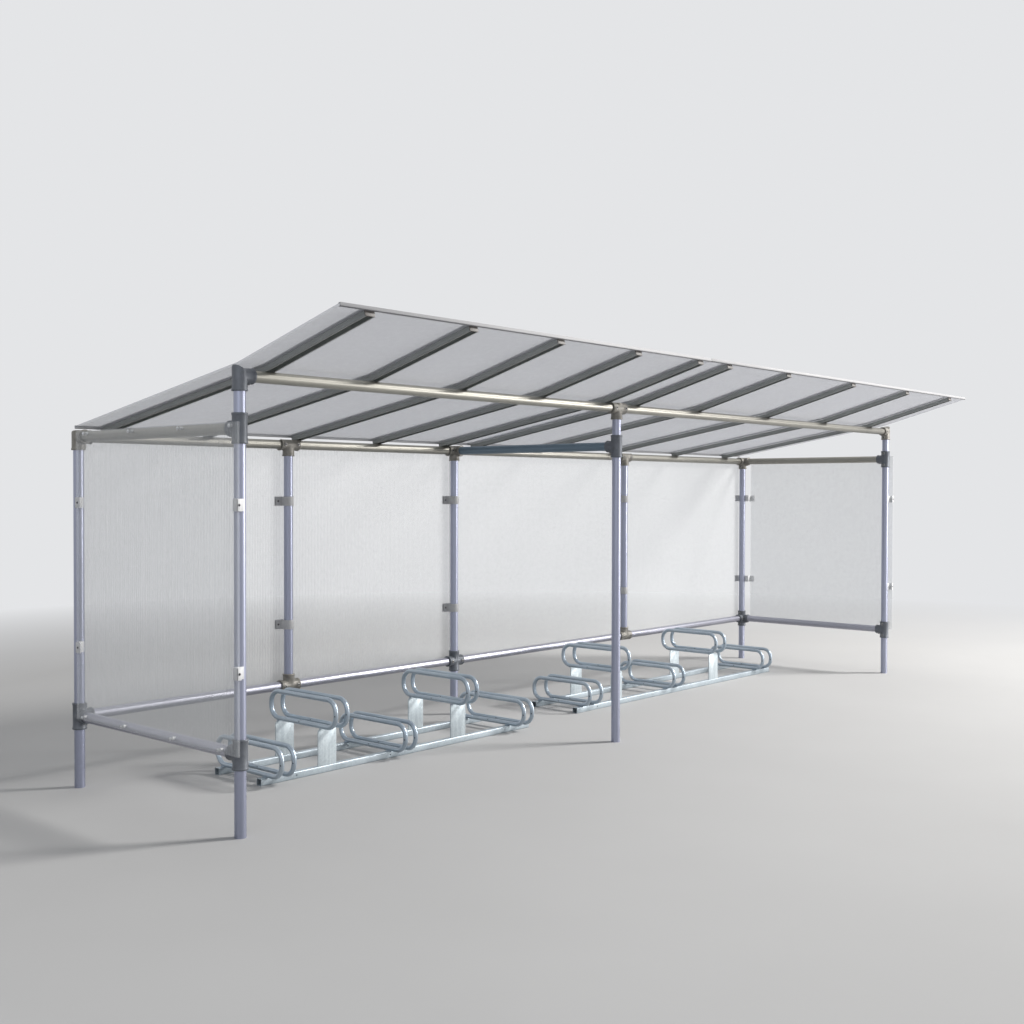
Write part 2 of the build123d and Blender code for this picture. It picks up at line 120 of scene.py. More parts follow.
# Selecting and editing
def choose(*pieces):
    if bpy.context.mode != "OBJECT":
        bpy.ops.object.mode_set(mode="OBJECT")
    bpy.ops.object.select_all(action="DESELECT")
    for piece in pieces:
        piece.select_set(True)
    if pieces:
        bpy.context.view_layer.objects.active = pieces[0]


def open_mesh(piece):
    choose(piece)
    bpy.ops.object.mode_set(mode="EDIT")


def close_mesh():
    bpy.ops.object.mode_set(mode="OBJECT")


def pick_faces(test):
    bpy.ops.mesh.select_mode(type="FACE")
    bpy.ops.mesh.select_all(action="DESELECT")
    mesh = bmesh.from_edit_mesh(bpy.context.edit_object.data)
    for face in mesh.faces:
        face.select_set(bool(test(face.calc_center_median(), face.normal)))
    bmesh.update_edit_mesh(bpy.context.edit_object.data)


def pick_edges(test):
    bpy.ops.mesh.select_mode(type="EDGE")
    bpy.ops.mesh.select_all(action="DESELECT")
    mesh = bmesh.from_edit_mesh(bpy.context.edit_object.data)
    for edge in mesh.edges:
        a, b = edge.verts[0].co, edge.verts[1].co
        edge.select_set(bool(test((a + b) / 2, (b - a).normalized())))
    bmesh.update_edit_mesh(bpy.context.edit_object.data)


def named(name):
    piece = bpy.context.active_object
    piece.name = name
    piece.data.name = name
    return piece


def settle(piece):
    choose(piece)
    bpy.ops.object.transform_apply(location=True, rotation=True, scale=True)
    return piece


def clean(piece, gap=0.00001):
    open_mesh(piece)
    bpy.ops.mesh.select_all(action="SELECT")
    bpy.ops.mesh.remove_doubles(threshold=gap)
    bpy.ops.mesh.normals_make_consistent(inside=False)
    close_mesh()
    return piece


def smooth(piece, angle=35):
    choose(piece)
    bpy.ops.object.shade_smooth_by_angle(angle=radians(angle))
    return piece


def copy_of(piece, matrix):
    twin = piece.copy()
    twin.data = piece.data.copy()
    twin.name = "copy"
    twin.data.transform(matrix)
    if matrix.determinant() < 0:
        twin.data.flip_normals()
    bpy.context.collection.objects.link(twin)
    return twin


def joined(name, pieces):
    choose(*pieces)
    if len(pieces) > 1:
        bpy.ops.object.join()
    return named(name)


def finished(piece, finish, slot_name, *nodes):
    piece.data.materials.clear()
    piece.data.materials.append(finish)
    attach(piece, "root")
    if nodes:
        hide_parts(*nodes)
    return piece


def unite(body, others, operation="UNION"):
    for other in others:
        cut = body.modifiers.new("join", "BOOLEAN")
        cut.operation = operation
        cut.solver = "EXACT"
        cut.object = other
        choose(body)
        bpy.ops.object.modifier_apply(modifier=cut.name)
        bpy.data.objects.remove(other)
    return body


def rounded(piece, width, segments=2, angle=40):
    bevel = piece.modifiers.new("edges", "BEVEL")
    bevel.width = width * MM
    bevel.segments = segments
    bevel.limit_method = "ANGLE"
    bevel.angle_limit = radians(angle)
    choose(piece)
    bpy.ops.object.modifier_apply(modifier=bevel.name)
    return piece


def facing(direction, centre=(0, 0, 0)):
    turn = Vector(direction).to_track_quat("Z", "Y").to_matrix().to_4x4()
    return Matrix.Translation(centre) @ turn


# Basic forms
def turned(name, stations, sides=40):
    # A round form along Z: a disc drawn out ring by ring, each (radius, height) in millimetres
    radius, height = stations[0]
    bpy.ops.mesh.primitive_circle_add(vertices=sides, radius=radius * MM, fill_type="NGON",
                                      location=(0, 0, height * MM))
    piece = settle(named(name))
    open_mesh(piece)
    bpy.ops.mesh.select_all(action="SELECT")
    for next_radius, next_height in stations[1:]:
        rise = (next_height - height) * MM
        bpy.ops.mesh.extrude_region_move(TRANSFORM_OT_translate={"value": (0, 0, rise)})
        grow = next_radius / radius
        bpy.ops.transform.resize(value=(grow, grow, 1))
        radius, height = next_radius, next_height
    close_mesh()
    return clean(piece)


def bar(name, low, high):
    # A block between two corners, in millimetres
    size = [(b - a) * MM for a, b in zip(low, high)]
    middle = [(b + a) / 2 * MM for a, b in zip(low, high)]
    bpy.ops.mesh.primitive_cube_add(size=1, location=middle, scale=size)
    return settle(named(name))


# Roof section
def roof_axes():
    rear, front = atan(REAR_SLOPE), atan(FRONT_SLOPE)
    return (cos(rear), -sin(rear), sin(rear), cos(rear)), (-cos(front), sin(front), sin(front), cos(front))


def roof_point(station, height):
    rear, front = roof_axes()
    base_y, base_z = rear[2] * BORE_R, BEAM_HEIGHT + rear[3] * BORE_R
    if abs(station) < 0.5:
        scale = height / (1 + rear[2] * front[2] + rear[3] * front[3])
        return base_y + (rear[2] + front[2]) * scale, base_z + (rear[3] + front[3]) * scale
    axes = rear if station > 0 else front
    return (base_y + abs(station) * axes[0] + height * axes[2],
            base_z + abs(station) * axes[1] + height * axes[3])


def lay_on_roof(piece):
    # The piece is drawn flat, with stations along Y and heights along Z, then laid on both slopes
    open_mesh(piece)
    bpy.ops.mesh.select_all(action="SELECT")
    bpy.ops.mesh.bisect(plane_co=(0, 0, 0), plane_no=(0, 1, 0))
    close_mesh()
    for vertex in piece.data.vertices:
        y, z = roof_point(vertex.co.y / MM, vertex.co.z / MM)
        vertex.co = at(vertex.co.x / MM, y, z)
    return piece


# Finishes
class Finish:
    def __init__(self, name, roughness=0.5, metallic=0.0):
        self.material = bpy.data.materials.new(name)
        self.material.use_nodes = True
        self.tree = self.material.node_tree
        self.shader = self.tree.nodes["Principled BSDF"]
        self.shader.inputs["Metallic"].default_value = metallic
        self.shader.inputs["Roughness"].default_value = roughness
        self.place = self.tree.nodes.new("ShaderNodeTexCoord").outputs["Object"]

    def link(self, output, socket):
        self.tree.links.new(output, socket)

    def stretched(self, scale):
        mapping = self.tree.nodes.new("ShaderNodeMapping")
        mapping.inputs["Scale"].default_value = scale
        self.link(self.place, mapping.inputs["Vector"])
        return mapping.outputs["Vector"]

    def noise(self, scale, detail=4.0, roughness=0.55, stretch=None):
        node = self.tree.nodes.new("ShaderNodeTexNoise")
        node.inputs["Scale"].default_value = scale
        node.inputs["Detail"].default_value = detail
        node.inputs["Roughness"].default_value = roughness
        self.link(self.stretched(stretch) if stretch else self.place, node.inputs["Vector"])
        return node.outputs["Fac"]

    def cells(self, scale):
        node = self.tree.nodes.new("ShaderNodeTexVoronoi")
        node.inputs["Scale"].default_value = scale
        self.link(self.place, node.inputs["Vector"])
        return node.outputs["Color"]

    def graded(self, factor, *stops):
        node = self.tree.nodes.new("ShaderNodeValToRGB")
        ramp = node.color_ramp
        while len(ramp.elements) < len(stops):
            ramp.elements.new(0.5)
        for element, (position, colour) in zip(ramp.elements, stops):
            element.position = position
            element.color = (*colour, 1)
        self.link(factor, node.inputs["Fac"])
        return node.outputs["Color"]

    def ranged(self, factor, low, high, start=0.0, end=1.0):
        node = self.tree.nodes.new("ShaderNodeMapRange")
        for socket, value in (("From Min", start), ("From Max", end), ("To Min", low), ("To Max", high)):
            node.inputs[socket].default_value = value
        self.link(factor, node.inputs["Value"])
        return node.outputs["Result"]

    def reckon(self, operation, a, b=None):
        node = self.tree.nodes.new("ShaderNodeMath")
        node.operation = operation
        for socket, value in zip(node.inputs, (a, b)):
            if value is None:
                continue
            if isinstance(value, (int, float)):
                socket.default_value = value
            else:
                self.link(value, socket)
        return node.outputs["Value"]

    def mixed(self, factor, a, b):
        node = self.tree.nodes.new("ShaderNodeMix")
        node.data_type = "RGBA"
        for socket, value in ((node.inputs[0], factor), (node.inputs[6], a), (node.inputs[7], b)):
            if isinstance(value, (int, float)):
                socket.default_value = value
            elif isinstance(value, tuple):
                socket.default_value = (*value, 1)
            else:
                self.link(value, socket)
        return node.outputs[2]

    def axis(self, letter):
        node = self.tree.nodes.new("ShaderNodeSeparateXYZ")
        self.link(self.place, node.inputs["Vector"])
        return node.outputs[letter]

    def colour(self, output):
        self.link(output, self.shader.inputs["Base Color"])

    def roughness(self, output):
        self.link(output, self.shader.inputs["Roughness"])

    def bump(self, height, strength, distance):
        node = self.tree.nodes.new("ShaderNodeBump")
        node.inputs["Strength"].default_value = strength
        node.inputs["Distance"].default_value = distance
        self.link(height, node.inputs["Height"])
        self.link(node.outputs["Normal"], self.shader.inputs["Normal"])


def tube_finish(name, dark, light, grime, stretch, metallic=0.7):
    # Satin round tube: faintly clouded along its length, a little dusty, with a broad soft gloss
    f = Finish(name, metallic=metallic)
    clouds = f.noise(4, 4, 0.5, stretch=stretch)
    dust = f.noise(60, 3, 0.5, stretch=stretch)
    base = f.graded(clouds, (0.30, dark), (0.72, light))
    f.colour(f.mixed(f.ranged(dust, 0.0, 0.15, 0.55, 0.78), base, grime))
    f.roughness(f.ranged(clouds, 0.36, 0.42, 0.3, 0.7))
    f.bump(f.noise(150, 2, 0.4), 0.03, 0.0004)
    return f.material


def casting_finish(name, dark, light, bloom):
    f = Finish(name, metallic=0.3)
    grain = f.noise(420, 5, 0.7)
    clouds = f.noise(34, 4, 0.6)
    base = f.graded(clouds, (0.3, dark), (0.75, light))
    f.colour(f.mixed(f.ranged(grain, 0.0, 0.25, 0.5, 0.8), base, bloom))
    f.roughness(f.ranged(grain, 0.38, 0.54, 0.3, 0.7))
    f.bump(grain, 0.35, 0.0006)
    return f.material


def roof_bar_finish():
    f = Finish("anodised roof bar", metallic=0.15)
    lines = f.noise(170, 3, 0.6, stretch=(1, 0.02, 1))
    clouds = f.noise(6, 4, 0.6)
    base = f.graded(clouds, (0.3, (0.29, 0.305, 0.30)), (0.7, (0.36, 0.375, 0.365)))
    f.colour(f.mixed(f.ranged(lines, 0.0, 0.25, 0.45, 0.75), base, (0.44, 0.455, 0.44)))
    f.roughness(f.ranged(lines, 0.50, 0.60, 0.3, 0.7))
    f.bump(lines, 0.15, 0.0004)
    return f.material


def cap_finish():
    f = Finish("moulded cap", roughness=0.55)
    fine = f.noise(700, 4, 0.6)
    f.colour(f.graded(f.noise(40, 3), (0.3, (0.10, 0.090, 0.083)), (0.7, (0.15, 0.137, 0.128))))
    f.roughness(f.ranged(fine, 0.48, 0.62, 0.3, 0.7))
    f.bump(fine, 0.35, 0.0005)
    return f.material


def sheet_finish(name, letter, pitch, tint, alpha, alpha_rib, gloss=0.28, rough=0.30):
    # Clear sheet with fine inner ribs; the ribs run square to the named axis
    f = Finish(name, roughness=0.3)
    place = f.reckon("MULTIPLY", f.axis(letter), 1000.0 / pitch)
    wave = f.reckon("ABSOLUTE", f.reckon("SUBTRACT", f.reckon("FRACT", place), 0.5))
    rib = f.ranged(wave, 1.0, 0.0, 0.03, 0.14)
    haze = f.noise(1.6, 4, 0.55)
    dust = f.noise(40, 4, 0.6)
    base = f.graded(haze, (0.3, tint), (0.7, tuple(min(1.0, c * 1.04) for c in tint)))
    f.colour(f.mixed(f.ranged(rib, 0.0, 0.22), base, (0.62, 0.65, 0.68)))
    cover = f.reckon("ADD", f.ranged(rib, alpha, alpha_rib), f.ranged(dust, 0.0, 0.04, 0.45, 0.75))
    f.link(cover, f.shader.inputs["Alpha"])
    f.shader.inputs["Specular IOR Level"].default_value = gloss
    f.roughness(f.ranged(dust, rough, rough + 0.1, 0.3, 0.7))
    f.bump(rib, 0.12, 0.0005)
    return f.material


def trim_finish():
    f = Finish("pale trim", metallic=0.05)
    lines = f.noise(150, 3, 0.5, stretch=(0.03, 1, 1))
    f.colour(f.graded(lines, (0.3, (0.30, 0.30, 0.31)), (0.7, (0.37, 0.37, 0.38))))
    f.roughness(f.ranged(lines, 0.55, 0.65, 0.3, 0.7))
    f.bump(lines, 0.12, 0.0003)
    return f.material


def clip_finish(name, dark, light):
    f = Finish(name, roughness=0.42)
    clouds = f.noise(60, 4, 0.6)
    f.colour(f.graded(clouds, (0.3, dark), (0.7, light)))
    f.roughness(f.ranged(clouds, 0.36, 0.5, 0.3, 0.7))
    f.bump(f.noise(500, 3), 0.2, 0.0004)
    return f.material


def zinc_finish(name, dark, light, crystals, contrast, metallic, rough, runs_at=6, stretch=(1, 1, 0.5)):
    # Hot-dip zinc: soft runs, with crystal cells of slightly different grey where the surface is flat
    f = Finish(name, metallic=metallic)
    runs = f.noise(runs_at, 4, 0.5, stretch=stretch)
    shade = f.tree.nodes.new("ShaderNodeRGBToBW")
    f.link(f.cells(crystals), shade.inputs["Color"])
    mix = f.reckon("ADD", f.reckon("MULTIPLY", shade.outputs["Val"], contrast),
                   f.reckon("MULTIPLY", runs, 1 - contrast))
    f.colour(f.graded(mix, (0.25, dark), (0.75, light)))
    f.roughness(f.ranged(runs, *rough, 0.3, 0.7))
    f.bump(f.noise(25, 2, 0.4), 0.02, 0.0005)
    return f.material


def screw_finish(name, dark, light, metallic=0.8):
    f = Finish(name, metallic=metallic)
    fine = f.noise(900, 3, 0.6)
    f.colour(f.graded(f.noise(240, 3), (0.3, dark), (0.7, light)))
    f.roughness(f.ranged(fine, 0.28, 0.45, 0.3, 0.7))
    f.bump(fine, 0.15, 0.0003)
    return f.material


UPRIGHT, LEVEL = (1, 1, 0.12), (0.12, 0.12, 1)
TUBE = tube_finish("blue-grey satin tube", (0.33, 0.35, 0.45), (0.39, 0.41, 0.51), (0.30, 0.31, 0.36),
                   UPRIGHT)
# Copies of the tube finish with painted light: a warmer one standing in for sunlight on the beams and upper
# level tubes, a paler one for the lit low rails, and a darker blue one as painted shade on the middle cross
# tube
WARM_SUNLIT_TUBE = tube_finish("warm grey tube, painted sunlight", (0.30, 0.29, 0.26), (0.38, 0.37, 0.33), (0.25, 0.24, 0.22), LEVEL)
PALE_LIT_TUBE = tube_finish("pale tube, painted light", (0.36, 0.365, 0.42), (0.44, 0.44, 0.50), (0.30, 0.30, 0.34),
                       LEVEL)
BLUE_SHADED_TUBE = tube_finish("slate blue tube, painted shade", (0.15, 0.21, 0.27), (0.19, 0.26, 0.32), (0.12, 0.16, 0.20),
                        LEVEL, 0.4)
CASTING = casting_finish("cast fitting grey", (0.115, 0.127, 0.145), (0.17, 0.182, 0.205),
                         (0.25, 0.262, 0.285))
# A lighter, warmer copy of the casting finish: partly painted sunlight on the front-beam fittings, partly the
# warm grey-brown of the rear top and mullion fittings
WARM_LIT_CASTING = casting_finish("warm cast fitting, partly painted sunlight", (0.20, 0.19, 0.17), (0.31, 0.295, 0.265),
                              (0.42, 0.405, 0.37))
ROOF_BAR = roof_bar_finish()
CAP = cap_finish()
WALL_SHEET = sheet_finish("clear ribbed wall sheet", "X", 10.5, (0.84, 0.86, 0.87), 0.15, 0.32)
SIDE_SHEET = sheet_finish("clear ribbed side sheet", "Y", 10.5, (0.84, 0.86, 0.87), 0.17, 0.36)
ROOF_SHEET = sheet_finish("opal ribbed roof sheet", "X", 10.5, (0.82, 0.83, 0.87), 0.42, 0.54,
                          0.03, 0.7)
TRIM = trim_finish()
CLIP = clip_finish("off-white clip", (0.76, 0.77, 0.78), (0.86, 0.86, 0.86))
# A darker grey copy of the off-white clip finish, as painted shade on the saddles and back plates at the rear
# wall
SHADED_CLIP = clip_finish("grey clip copy, painted shade", (0.50, 0.50, 0.51), (0.60, 0.60, 0.60))
ZINC = zinc_finish("zinc hoop tube", (0.36, 0.43, 0.50), (0.48, 0.55, 0.61), 120, 0.0, 0.65, (0.28, 0.34))
ZINC_PLATE = zinc_finish("zinc plate", (0.46, 0.53, 0.57), (0.70, 0.77, 0.80), 110, 0.25, 0.3, (0.38, 0.5),
                         55, (1, 1, 0.07))
ZINC_RAIL = zinc_finish("zinc rail", (0.36, 0.42, 0.46), (0.50, 0.56, 0.60), 120, 0.3, 0.5, (0.34, 0.46))
DARK_STEEL = screw_finish("dark screw", (0.05, 0.05, 0.06), (0.12, 0.12, 0.13), 0.7)
BOSS_HIGHLIGHT = screw_finish("pale boss ring, painted highlight", (0.42, 0.41, 0.39), (0.56, 0.55, 0.52), 0.3)
BRIGHT_STEEL = screw_finish("bright screw", (0.50, 0.51, 0.53), (0.68, 0.69, 0.70))


# Clamp fittings
def socket_arm(crown):
    # A socket along +Z with a rounded rim; the crown carries it past the centre to a domed end
    reach, wide = SOCKET_REACH, CASTING_R + RIM_HEIGHT
    start = [(CASTING_R, 0)]
    if crown:
        start = [(CASTING_R * 0.62, -crown), (CASTING_R * 0.90, -crown + 3.5), (CASTING_R, -crown + 10)]
    return turned("arm", start + [(CASTING_R, reach - RIM_LENGTH - 4), (wide - 0.5, reach - RIM_LENGTH),
                                  (wide, reach - RIM_LENGTH + 1.5), (wide, reach - 1.5), (wide - 1.2, reach)])


def screw_boss():
    return turned("boss", [(9.6, CASTING_R - 8), (9.2, CASTING_R + BOSS_HEIGHT - 1.5),
                           (8.0, CASTING_R + BOSS_HEIGHT)], 24)


def boss_place(direction, side, along_screw):
    # Where a socket's screw sits: its distance along the socket, and which way it faces
    towards = side if direction[2] else along_screw if direction[0] else DOWN
    return Vector(direction) * (SOCKET_REACH - RIM_LENGTH - 11) * MM, towards


def grub_screw():
    # A socket screw: a round end with a six-sided hole
    body = turned("screw", [(5.6, 0), (5.6, 5.0), (5.0, 5.6)], 24)
    hole = turned("hole", [(2.9, 2.0), (2.9, 8.0)], 6)
    return unite(body, [hole], "DIFFERENCE")


def peaked(body, run):
    # An elbow's outer corner stands up in a point that falls towards its beam
    open_mesh(body)
    bpy.ops.mesh.select_all(action="SELECT")
    corner = (-run[0] * CASTING_R * MM, 0, ELBOW_PEAK * MM)
    bpy.ops.mesh.bisect(plane_co=corner, plane_no=(run[0] * 0.5, 0, 0.87), use_fill=True, clear_outer=True)
    close_mesh()


def casting(sockets, sleeve, side, along_screw):
    elbow = not sleeve and len(sockets) == 2 and sockets[0] == DOWN
    body = socket_arm(0 if sleeve else ELBOW_CROWN if elbow else CASTING_R)
    body.data.transform(facing(sockets[0]))
    if elbow:
        peaked(body, sockets[1])
    more = []
    for direction in list(sockets[1:]) + list(sleeve):
        arm = socket_arm(0)
        arm.data.transform(facing(direction))
        more.append(arm)
    recesses = []
    for direction in list(sockets) + list(sleeve):
        place, towards = boss_place(direction, side, along_screw)
        boss = screw_boss()
        boss.data.transform(facing(towards, place))
        more.append(boss)
        recess = turned("recess", [(5.8, CASTING_R - 4), (5.8, CASTING_R + BOSS_HEIGHT + 3)], 24)
        recess.data.transform(facing(towards, place))
        recesses.append(recess)
    unite(body, more)
    for direction in sockets:
        bore = turned("bore", [(BORE_R, TUBE_R + 1), (BORE_R, SOCKET_REACH + 10)])
        bore.data.transform(facing(direction))
        recesses.append(bore)
    for direction in sleeve[:1]:
        bore = turned("bore", [(BORE_R, -SOCKET_REACH - 10), (BORE_R, SOCKET_REACH + 10)])
        bore.data.transform(facing(direction))
        recesses.append(bore)
    unite(body, recesses, "DIFFERENCE")
    return body


# A pale ring laid on each boss face round the screw, as painted highlight of the boss's lit face
def screw_ring():
    ring = turned("ring", [(8.2, 0), (8.2, 0.8), (7.6, 1.2)], 28)
    return smooth(unite(ring, [turned("hole", [(5.9, -2), (5.9, 4)], 28)], "DIFFERENCE"), 40)


MADE = {}
SCREWS, RINGS = [], []
GRUB, RING = grub_screw(), screw_ring()


def castings(name, nodes, places, finish=CASTING, flat_top=False, along_screw=FORWARD):
    pieces = []
    for centre, sockets, sleeve in places:
        side = LEFT if centre[0] > LEFT_BAY else RIGHT
        key = (tuple(sockets), tuple(sleeve), side, flat_top and centre[2] == RAIL_HEIGHT, along_screw)
        if key not in MADE:
            shape = casting(sockets, sleeve, side, along_screw)
            if key[3]:
                seat = bar("seat", (-90, -90, TUBE_R), (90, 90, 90))
                seat.data.transform(Matrix.Rotation(-atan(REAR_SLOPE), 4, "X"))
                unite(shape, [seat], "DIFFERENCE")
            MADE[key] = smooth(rounded(clean(shape), 0.7, 2, 50), 40)
        middle = at(*centre)
        pieces.append(copy_of(MADE[key], Matrix.Translation(middle)))
        for direction in list(sockets) + list(sleeve):
            place, towards = boss_place(direction, side, along_screw)
            seat = middle + place + Vector(towards) * (CASTING_R - 3.5) * MM
            SCREWS.append(copy_of(GRUB, facing(towards, seat)))
            rim = middle + place + Vector(towards) * (CASTING_R + BOSS_HEIGHT - 0.5) * MM
            RINGS.append(copy_of(RING, facing(towards, rim)))
    return finished(joined(name, pieces), finish, "clamp_fitting", *nodes)


POSTS_X = (0.0, LEFT_BAY, LENGTH)
RUNS = ([RIGHT], [LEFT, RIGHT], [LEFT])
castings("left_beam_elbow", [], [((0.0, 0, BEAM_HEIGHT), [DOWN, RIGHT], [])], along_screw=DOWN)
# The front-beam fittings take the lighter, warmer casting copy as painted sunlight
castings("beam_castings", ["front_beam_fittings"],
         [((x, 0, BEAM_HEIGHT), [DOWN] + run, []) for x, run in list(zip(POSTS_X, RUNS))[1:]], WARM_LIT_CASTING)
castings("cross_castings", ["cross_tube_tees"],
         [((x, 0, RAIL_HEIGHT), [BACK], [UP, DOWN]) for x in POSTS_X])
castings("rear_top_castings", ["rear_top_fittings"],
         [((x, DEPTH, RAIL_HEIGHT), [DOWN, FORWARD] + run, []) for x, run in zip(POSTS_X, RUNS)],
         WARM_LIT_CASTING)
low_front = [((x, 0, LOW_HEIGHT), [BACK], [UP, DOWN]) for x in (0.0, LENGTH)]
low_rear = [((x, DEPTH, LOW_HEIGHT), run, [UP, DOWN])
            for x, run in zip(POSTS_X, ([RIGHT, FORWARD], [LEFT, RIGHT], [LEFT, FORWARD]))]
castings("low_castings", ["low_rail_fittings"], low_front + low_rear)
mullions = (LEFT_MULLION, RIGHT_MULLION)
castings("mullion_castings", ["mullion_tees"],
         [((x, DEPTH, RAIL_HEIGHT), [DOWN], [LEFT, RIGHT]) for x in mullions]
         + [((x, DEPTH, LOW_HEIGHT), [UP], [LEFT, RIGHT]) for x in mullions], WARM_LIT_CASTING, True)
finished(smooth(joined("grub_screws", SCREWS)), DARK_STEEL, "clamp_fitting")
# The pale rings on the bosses are painted highlight
finished(joined("boss_highlight_rings", RINGS), BOSS_HIGHLIGHT, "clamp_fitting")
for shape in list(MADE.values()) + [GRUB, RING]:
    bpy.data.objects.remove(shape)


# Wheel racks
def bent_hoop(length):
    # A ring drawn along the runs and spun round the four corners
    half_y = (length / 2 - HOOP_R - HOOP_CORNER) * MM
    half_z = (HOOP_HEIGHT / 2 - HOOP_R - HOOP_CORNER) * MM
    corner = HOOP_CORNER * MM
    bpy.ops.mesh.primitive_circle_add(vertices=20, radius=HOOP_R * MM, fill_type="NOTHING",
                                      location=(0, 0, -half_z - corner), rotation=(pi / 2, 0, 0))
    piece = settle(named("hoop"))
    open_mesh(piece)
    bpy.ops.mesh.select_all(action="SELECT")

    def run(y, z):
        bpy.ops.mesh.extrude_edges_move(TRANSFORM_OT_translate={"value": (0, y, z)})

    def turn(y, z):
        bpy.ops.mesh.spin(steps=9, angle=pi / 2, center=(0, y, z), axis=(-1, 0, 0))

    run(half_y, 0)
    turn(half_y, -half_z)
    run(0, 2 * half_z)
    turn(half_y, half_z)
    run(-2 * half_y, 0)
    turn(-half_y, half_z)
    run(0, -2 * half_z)
    turn(-half_y, -half_z)
    run(half_y, 0)
    close_mesh()
    clean(piece, 0.0002)
    # Two vent holes for the zinc bath, each with a dark disc behind it as painted shade for the tube's bore
    bottom, front = -HOOP_HEIGHT / 2 + HOOP_R, -length / 2 + HOOP_R
    holes, painted_bore_shade = [], []
    for y, z, towards in ((20, bottom, (-1, 0, 0.4)), (front, -6, (-1, -0.3, 0))):
        hole = turned("hole", [(4.2, 3.0), (4.2, 18.0)], 16)
        # The dark disc is painted shade: the hoop is drawn solid, so the shade in its hollow bore is a dark
        # steel disc
        bore = turned("bore", [(4.1, 3.5), (4.1, 8.0)], 16)
        for shape in (hole, bore):
            shape.data.transform(facing(towards, (0, y * MM, z * MM)))
        holes.append(hole)
        painted_bore_shade.append(bore)
    unite(piece, holes, "DIFFERENCE")
    return smooth(piece, 40), joined("painted_bore_shade", painted_bore_shade)


def weld_bead(length):
    # A rippled seam of weld along Y
    steps = max(3, int(length / 5))
    rings = [(0.8, 0)]
    for n in range(steps):
        start = length * n / steps
        rings += [(2.6, start + 0.8), (3.0, start + length / steps / 2), (2.4, start + length / steps - 0.6)]
    bead = turned("bead", rings + [(0.8, length)], 10)
    bead.data.transform(Matrix.Rotation(-pi / 2, 4, "X") @ Matrix.Translation((0, 0, -length / 2 * MM)))
    return smooth(bead, 60)


def floor_rail(x0, x1, y):
    rail = bar("rail", (x0, y - RACK_RAIL / 2, 0), (x1, y + RACK_RAIL / 2, RACK_RAIL))
    open_mesh(rail)
    pick_edges(lambda middle, along: abs(along.x) > 0.9)
    bpy.ops.mesh.bevel(offset=4.5 * MM, segments=4)
    pick_faces(lambda middle, normal: abs(normal.x) > 0.9)
    bpy.ops.mesh.inset(thickness=2.5 * MM)
    for way, end in ((1, x0), (-1, x1)):
        pick_faces(lambda middle, normal: abs(normal.x) > 0.9 and abs(middle.x - end * MM) < 0.001
                   and abs(middle.z - RACK_RAIL / 2 * MM) < 0.002 and abs(middle.y - y * MM) < 0.002)
        bpy.ops.mesh.extrude_region_move(TRANSFORM_OT_translate={"value": (way * 150 * MM, 0, 0)})
    close_mesh()
    clean(rail)
    holes = []
    for x in (x0 + 210, (x0 + x1) / 2 - 140, x1 - 210):
        hole = turned("hole", [(4.0, -6.0), (4.0, 6.0)], 16)
        hole.data.transform(facing(FORWARD, (x * MM, (y - RACK_RAIL / 2) * MM, RACK_RAIL / 2 * MM)))
        holes.append(hole)
    unite(rail, holes, "DIFFERENCE")
    rail.data.transform(Matrix.Translation(at(0, 0, 0)))
    return smooth(rail, 40)


def stand_plate():
    # A flat plate with rounded top corners and slightly softened edges
    plate = bar("plate", (-PLATE_WIDTH / 2, -PLATE_THICK / 2, 0),
                (PLATE_WIDTH / 2, PLATE_THICK / 2, PLATE_TALL))
    open_mesh(plate)
    pick_edges(lambda middle, along: abs(along.y) > 0.9 and middle.z > 0.1)
    bpy.ops.mesh.bevel(offset=17 * MM, segments=6)
    close_mesh()
    return smooth(rounded(plate, 0.8, 2), 35)


PLATE = stand_plate()
RAIL_BEAD = weld_bead(27.0)
SHORT_BEAD = weld_bead(9.0)
LONG_BEAD = weld_bead(104.0)
PLATE_SETBACK = -RACK_RAIL / 2 + 2 + PLATE_THICK / 2


